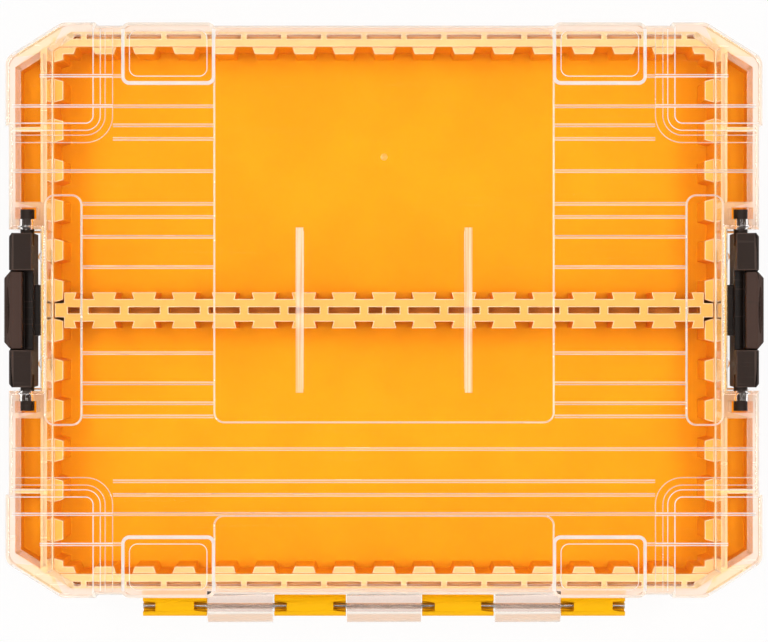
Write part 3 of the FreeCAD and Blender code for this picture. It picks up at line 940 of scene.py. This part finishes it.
class RailTree:
    """Geometry nodes for a rail with a tab on each face and a cell on top at every step."""

    SIZES = (
        "Pitch", "Half Length", "Half Thickness", "Low", "High",
        "Tab Root", "Tab Tip", "Tab Reach", "Cell Length", "Cell Half Width",
        "Cell Depth", "End Wall", "Middle Web", "Tongue Reach", "Tongue Half Width",
        "Overlap",
    )

    def __init__(self) -> None:
        """Makes the tree with its named inputs."""
        self.tree = bpy.data.node_groups.new("tabbed_rail", "GeometryNodeTree")
        face = self.tree.interface
        self.keys: dict[str, str] = {}
        for label in self.SIZES:
            socket = face.new_socket(label, in_out="INPUT", socket_type="NodeSocketFloat")
            self.keys[label] = socket.identifier
        for label, kind in (("Steps", "NodeSocketInt"), ("Finish", "NodeSocketMaterial")):
            self.keys[label] = face.new_socket(label, in_out="INPUT", socket_type=kind).identifier
        face.new_socket("Geometry", in_out="OUTPUT", socket_type="NodeSocketGeometry")
        self.sheet = NodeSheet(self.tree)
        self.sizes = self.sheet.add("NodeGroupInput").outputs
        self._finish(self._rail())

    def _vector(self, *parts: Socket | float) -> Socket:
        """Makes a vector.

        Args:
            parts: its three outputs or numbers.

        Returns:
            The vector's socket.
        """
        node = self.sheet.add("ShaderNodeCombineXYZ")
        for part, target in zip(parts, node.inputs):
            self.sheet.feed(part, target)
        return node.outputs["Vector"]

    def _box(self, spans: tuple[Socket | float, ...]) -> Socket:
        """A box centred on the Z axis.

        Args:
            spans: half its length, half its thickness, its low end and its high end.

        Returns:
            The box's geometry.
        """
        half_x, half_y, low, high = spans
        maths = self.sheet.math
        length, thickness = (maths("MULTIPLY", half, 2.0) for half in (half_x, half_y))
        size = self._vector(length, thickness, maths("SUBTRACT", high, low))
        cube = self.sheet.add("GeometryNodeMeshCube")
        self.sheet.join(size, cube.inputs["Size"])
        middle = maths("MULTIPLY", maths("ADD", low, high), 0.5)
        return self._moved(cube.outputs["Mesh"], "Translation", self._vector(0.0, 0.0, middle))

    def _moved(self, shape: Socket, how: str, amount: Socket) -> Socket:
        """Moves or turns a shape.

        Args:
            shape: the shape's geometry.
            how: the name of the transform's input.
            amount: the vector for that input.

        Returns:
            The moved geometry.
        """
        node = self.sheet.add("GeometryNodeTransform")
        self.sheet.join(shape, node.inputs["Geometry"])
        self.sheet.join(amount, node.inputs[how])
        return node.outputs["Geometry"]

    def _combined(self, operation: str, shapes: list[Socket]) -> Socket:
        """Unites or intersects shapes, or cuts the others from the first.

        Args:
            operation: UNION, INTERSECT or DIFFERENCE.
            shapes: the shapes' geometry.

        Returns:
            The resulting geometry.
        """
        node = self.sheet.add("GeometryNodeMeshBoolean", operation=operation, solver="MANIFOLD")
        for index, shape in enumerate(shapes):
            first = index == 0 and operation == "DIFFERENCE"
            self.sheet.join(shape, node.inputs["Mesh 1" if first else "Mesh 2"])
        return node.outputs["Mesh"]

    def _repeated(self, shape: Socket) -> Socket:
        """Puts a shape at every step along the rail.

        Args:
            shape: the shape's geometry.

        Returns:
            The real geometry of all the copies.
        """
        add, join, maths = self.sheet.add, self.sheet.join, self.sheet.math
        pitch, steps = self.sizes["Pitch"], self.sizes["Steps"]
        span = maths("MULTIPLY", pitch, maths("SUBTRACT", steps, 1.0))
        line = add("GeometryNodeMeshLine", mode="OFFSET")
        join(steps, line.inputs["Count"])
        start = self._vector(maths("MULTIPLY", span, -0.5), 0.0, 0.0)
        join(start, line.inputs["Start Location"])
        join(self._vector(pitch, 0.0, 0.0), line.inputs["Offset"])
        copies = add("GeometryNodeInstanceOnPoints")
        join(line.outputs["Mesh"], copies.inputs["Points"])
        join(shape, copies.inputs["Instance"])
        real = add("GeometryNodeRealizeInstances")
        join(copies.outputs["Instances"], real.inputs["Geometry"])
        return real.outputs["Geometry"]

    def _tab(self) -> Socket:
        """One dovetail tab: a unit cube drawn out to its root, tip and reach.

        Returns:
            The tab's geometry.
        """
        sizes, add, join, maths = self.sizes, self.sheet.add, self.sheet.join, self.sheet.math
        cube = add("GeometryNodeMeshCube", {"Size": (1.0, 1.0, 1.0)})
        place = add("ShaderNodeSeparateXYZ")
        join(add("GeometryNodeInputPosition").outputs["Position"], place.inputs["Vector"])
        out = maths("ADD", place.outputs["Y"], 0.5)
        up = maths("ADD", place.outputs["Z"], 0.5)
        flare = maths("MULTIPLY", maths("SUBTRACT", sizes["Tab Tip"], sizes["Tab Root"]), out)
        x = maths("MULTIPLY", place.outputs["X"], maths("ADD", sizes["Tab Root"], flare))
        depth = maths("MULTIPLY", maths("ADD", sizes["Tab Reach"], sizes["Overlap"]), out)
        y = maths("ADD", maths("SUBTRACT", sizes["Half Thickness"], sizes["Overlap"]), depth)
        tall = maths("SUBTRACT", sizes["High"], sizes["Low"])
        z = maths("ADD", sizes["Low"], maths("MULTIPLY", tall, up))
        shaped = add("GeometryNodeSetPosition")
        join(cube.outputs["Mesh"], shaped.inputs["Geometry"])
        join(self._vector(x, y, z), shaped.inputs["Position"])
        return shaped.outputs["Geometry"]

    def _rail(self) -> Socket:
        """The whole rail: body, tabs, tongues and cells.

        Returns:
            The rail's geometry.
        """
        sizes, maths = self.sizes, self.sheet.math
        low, high = sizes["Low"], sizes["High"]
        wide = maths("MULTIPLY", sizes["Half Thickness"], 2.0)
        body = self._box((sizes["Half Length"], sizes["Half Thickness"], low, high))
        room = self._box((sizes["Half Length"], wide, low, high))
        front = self._combined("INTERSECT", [self._repeated(self._tab()), room])
        back = self._moved(front, "Rotation", self._vector(0.0, 0.0, math.pi))
        tongue_end = maths("ADD", sizes["Half Length"], sizes["Tongue Reach"])
        tongues = self._box((tongue_end, sizes["Tongue Half Width"], low, high))
        solid = self._combined("UNION", [body, front, back, tongues])
        cell_low = maths("SUBTRACT", high, sizes["Cell Depth"])
        cell_high = maths("ADD", high, sizes["Overlap"])
        half_cell = maths("MULTIPLY", sizes["Cell Length"], 0.5)
        cell = self._box((half_cell, sizes["Cell Half Width"], cell_low, cell_high))
        cells = self._repeated(cell)
        reach = maths("SUBTRACT", sizes["Half Length"], sizes["End Wall"])
        limits = self._box((reach, wide, cell_low, cell_high))
        bounded = self._combined("INTERSECT", [cells, limits])
        web = self._box((maths("MULTIPLY", sizes["Middle Web"], 0.5), wide, cell_low, cell_high))
        return self._combined("DIFFERENCE", [solid, self._combined("DIFFERENCE", [bounded, web])])

    def _finish(self, rail: Socket) -> None:
        """Ends the tree with real, smooth, dressed geometry.

        Args:
            rail: the rail's geometry.
        """
        add, join = self.sheet.add, self.sheet.join
        real = add("GeometryNodeRealizeInstances")
        smooth = add("GeometryNodeSetShadeSmooth")
        dress = add("GeometryNodeSetMaterial")
        join(rail, real.inputs["Geometry"])
        join(real.outputs["Geometry"], smooth.inputs["Geometry"])
        join(smooth.outputs["Geometry"], dress.inputs["Geometry"])
        join(self.sizes["Finish"], dress.inputs["Material"])
        join(dress.outputs["Geometry"], add("NodeGroupOutput").inputs["Geometry"])


@dataclass
class Divider(Moulding):
    """Drop-in rail with dovetail tabs."""

    node: str = "divider"
    name: str = "divider_rail"
    body: Body = Body.BASE
    slot: Slot = Slot.TRAY
    radius: float = 0.25 * MM
    steps: int = 17
    pitch: float = 12.7 * MM
    half_length: float = 101.6 * MM
    half_thickness: float = 3.6 * MM
    low: float = 2.2 * MM
    high: float = 29.0 * MM
    tab_root: float = 6.3 * MM
    tab_tip: float = 7.9 * MM
    tab_reach: float = 2.1 * MM
    cell_length: float = 9.9 * MM
    cell_half_width: float = 1.0 * MM
    cell_depth: float = 7.0 * MM
    end_wall: float = 1.2 * MM
    middle_web: float = 1.0 * MM
    tongue_reach: float = 3.0 * MM
    tongue_half_width: float = 2.25 * MM
    overlap: float = 0.5 * MM

    def build(self, finishes: list[Material]) -> Object:
        """Builds and dresses the divider, whose rounded edges lie on its first slot.

        Args:
            finishes: the divider's plastic, and the tray's plastic with a painted highlight, for
                its edges.

        Returns:
            The finished piece.
        """
        yellow, painted_highlight = finishes
        rail = RailTree()
        piece = put_in_scene(self.name, bpy.data.meshes.new(self.name + "_base"))
        repeat = piece.modifiers.new("rail", "NODES")
        repeat.node_group = rail.tree
        for label in RailTree.SIZES:
            repeat[rail.keys[label]] = getattr(self, label.lower().replace(" ", "_"))
        repeat[rail.keys["Steps"]] = self.steps
        repeat[rail.keys["Finish"]] = yellow
        self.round_edges(piece, 0)
        rounding = piece.modifiers["rounding"]
        rounding.limit_method = "ANGLE"
        rounding.angle_limit = self.sharp_angle
        self.settle(piece, [yellow])
        # The rounded edges take the plastic with the painted highlight.
        piece.data.materials[0] = painted_highlight
        return piece


@dataclass
class Lid(Moulding):
    """Clear lid with its pads, ribs, bars and hinge knuckles."""

    node: str = "lid"
    name: str = "clear_lid"
    body: Body = Body.LID
    slot: Slot = Slot.CLEAR
    radius: float = 0.0
    skin_top: float = 50.005 * MM
    rib_high: float = 50.75 * MM
    rim_high: float = 31.0 * MM
    outer_x: float = 115.5 * MM
    outer_y: float = 87.5 * MM
    inner_x: float = 111.0 * MM
    inner_y: float = 84.0 * MM
    bar_x: float = 30.0 * MM
    bar_y: float = 27.0 * MM
    knuckle_y: float = 89.8 * MM
    gate_reach: float = 3.0 * MM
    gate_low: float = 50.82 * MM
    steep_tilt: float = 0.2
    level_tilt: float = 0.97
    down_tilt: float = -0.9

    def finish_at(self, face: bmesh.types.BMFace) -> int:
        """Index of a face's finish.

        Args:
            face: a face of the lid's solid.

        Returns:
            The kind of face that it is.
        """
        middle, tilt = face.calc_center_median(), face.normal.z
        x, y, z = abs(middle.x), abs(middle.y), middle.z
        outside = x > self.outer_x or y > self.outer_y
        farther_in = x < self.inner_x and y < self.inner_y
        downward = tilt < self.down_tilt
        if x < self.gate_reach and z > self.gate_low:
            return LidFace.GATE
        if self.steep_tilt < tilt < self.level_tilt and (outside or z > self.skin_top):
            pad = z > self.rib_high and not outside
            return LidFace.PAD_EDGE if pad else LidFace.RIB_EDGE
        if downward and x < self.bar_x and y < self.bar_y:
            return LidFace.BAR_END if z < self.rim_high else LidFace.POLISHED
        if middle.y < -self.knuckle_y:
            return LidFace.KNUCKLE
        if downward and z < self.rim_high:
            return LidFace.INNER_RIM if farther_in else LidFace.OUTER_RIM
        if z < self.rim_high or (abs(tilt) < self.steep_tilt and z < self.skin_top):
            return LidFace.INNER_WALL if farther_in else LidFace.OUTER_WALL
        return LidFace.POLISHED


@dataclass
class HingePin(Moulding):
    """Steel wire through the knuckles."""

    node: str = "hinge_pin"
    name: str = "hinge_wire"
    body: Body = Body.BASE
    slot: Slot = Slot.STEEL
    radius: float = 0.2 * MM


@dataclass
class Latch(Moulding):
    """Black latch with its grip, hook and trunnions."""

    slot: Slot = Slot.LATCH
    radius: float = 0.35 * MM


@dataclass(frozen=True)
class SoftBox:
    """A soft lamp aimed at the middle of the case."""

    name: str
    place: Point
    width: float
    depth: float
    power: float

    def build(self, aim: Vector) -> None:
        """Adds the lamp.

        Args:
            aim: the point that it faces.
        """
        lamp = bpy.data.lights.new(self.name, "AREA")
        lamp.shape = "RECTANGLE"
        lamp.size = self.width
        lamp.size_y = self.depth
        lamp.energy = self.power
        stand = put_in_scene(self.name, lamp)
        stand.location = self.place
        stand.rotation_euler = (aim - Vector(self.place)).to_track_quat("-Z", "Y").to_euler()


@dataclass
class Studio:
    """Pale floor, soft lamps, pale surroundings and a camera straight above."""

    frame_width: int = 768
    pixel_share: float = 2.835e-4
    camera_height: float = 1.15
    camera_back: float = -3.4 * MM
    sensor: float = 36.0
    floor_half: float = 4.0
    floor_drop: float = 0.05 * MM
    floor_colour: Colour = (0.93, 0.93, 0.93, 1.0)
    floor_white_share: float = 0.93
    sky_light: float = 1.2
    zenith: Colour = (0.05, 0.05, 0.05, 1.0)
    horizon: Colour = (1.0, 1.0, 1.0, 1.0)
    sky_range: tuple[float, float] = (0.25, 0.8)
    aim: Point = (0.0, 0.0, 0.03)
    lamps: tuple[SoftBox, ...] = (
        SoftBox("left_softbox", (-0.46, 0.1, 1.3), 0.6, 0.3, 5.1),
        SoftBox("right_softbox", (0.46, 0.1, 1.3), 0.6, 0.3, 5.1),
        SoftBox("front_softbox", (0.0, -0.9, 0.95), 1.2, 0.3, 2.0),
    )

    def build(self) -> None:
        """Adds the floor, the lamps, the surroundings and the camera."""
        self._floor()
        self._surroundings()
        for lamp in self.lamps:
            lamp.build(Vector(self.aim))
        self._camera()
        bpy.context.scene.view_settings.view_transform = "Standard"

    def _camera(self) -> None:
        """Adds the camera that looks straight down, with the hinge below."""
        camera = bpy.data.cameras.new("camera")
        camera.sensor_width = self.sensor
        camera.lens = self.sensor / (self.frame_width * self.pixel_share)
        stand = put_in_scene("camera", camera)
        stand.location = (0.0, self.camera_back, self.camera_height)
        bpy.context.scene.camera = stand

    @staticmethod
    def _seen(sheet: NodeSheet) -> Socket:
        """Finds the rays that show the surroundings to the camera, straight or through a finish.

        Args:
            sheet: the sheet of a material or a world.

        Returns:
            Socket of the mask.
        """
        rays = sheet.add("ShaderNodeLightPath")
        seen = sheet.math("MAXIMUM", rays.outputs["Is Camera Ray"], rays.outputs["Is Glossy Ray"])
        return sheet.math("MAXIMUM", seen, rays.outputs["Is Transmission Ray"])

    def _floor(self) -> None:
        """Adds a pale floor that shows white and keeps a soft shadow."""
        half = self.floor_half
        corners = [(-half, -half), (half, -half), (half, half), (-half, half)]
        mesh = bpy.data.meshes.new("floor")
        mesh.from_pydata([(x, y, -self.floor_drop) for x, y in corners], [], [(0, 1, 2, 3)])
        finish = Finish("floor_white")
        sheet = finish.sheet
        dull = sheet.add("ShaderNodeBsdfDiffuse", {"Color": self.floor_colour})
        white = sheet.add("ShaderNodeEmission", {"Strength": 1.0})
        share = sheet.math("MULTIPLY", self._seen(sheet), self.floor_white_share)
        surface = sheet.mixed(share, dull.outputs["BSDF"], white.outputs["Emission"])
        mesh.materials.append(finish.close(surface))
        floor = put_in_scene("floor", mesh)

    def _surroundings(self) -> None:
        """Adds a sky that is pale at the horizon and dark above the camera."""
        world = bpy.data.worlds.new("surroundings")
        bpy.context.scene.world = world
        world.use_nodes = True
        world.node_tree.nodes.clear()
        sheet = NodeSheet(world.node_tree)
        way = sheet.add("ShaderNodeSeparateXYZ")
        sheet.join(sheet.add("ShaderNodeTexCoord").outputs["Generated"], way.inputs["Vector"])
        high = sheet.ramp(way.outputs["Z"], *self.sky_range)
        sky = sheet.blend(high, self.horizon, self.zenith)
        light = sheet.add("ShaderNodeBackground", {"Strength": self.sky_light})
        sheet.join(sky, light.inputs["Color"])
        white = sheet.add("ShaderNodeBackground", {"Strength": 1.0})
        direct = sheet.add("ShaderNodeLightPath").outputs["Is Camera Ray"]
        surface = sheet.mixed(direct, light.outputs["Background"], white.outputs["Background"])
        sheet.join(surface, sheet.add("ShaderNodeOutputWorld").inputs["Surface"])


def main() -> None:
    """Builds the case and its studio, and reports each piece."""
    logging.basicConfig(level=logging.INFO, format="%(name)s: %(message)s")
    groups = SurfaceGroups()
    # The tray's plastic with a painted highlight, for the rounded edges of the tray and divider.
    edge = TrayPlastic("tray_edge", crown=EDGE_HIGHLIGHT, side_crown=EDGE_HIGHLIGHT).material(groups)
    pieces = [
        Tray().build([TrayPlastic().material(groups), edge]),
        Divider().build([RailPlastic().material(groups), edge]),
        HingePin().build([DrawnSteel().material(groups)]),
        Lid().build([LID_PLASTICS[kind].material(groups) for kind in LidFace]),
    ]
    black = LatchPlastic().material(groups)
    # The latch plastic with a painted highlight on its rounded edges.
    worn = LatchPlastic("latch_edge_highlight", painted_highlight=EDGE_HIGHLIGHT_BLACK, skin=WORN_SKIN).material(groups)
    for side, body in (("left", Body.LEFT_LATCH), ("right", Body.RIGHT_LATCH)):
        pieces.append(Latch(side + "_latch", side + "_latch_lever", body).build([black, worn]))
    for piece in pieces:
        log.info("%s: %d faces", piece.name, len(piece.data.polygons))
    Studio().build()


if __name__ == "__main__":
    main()
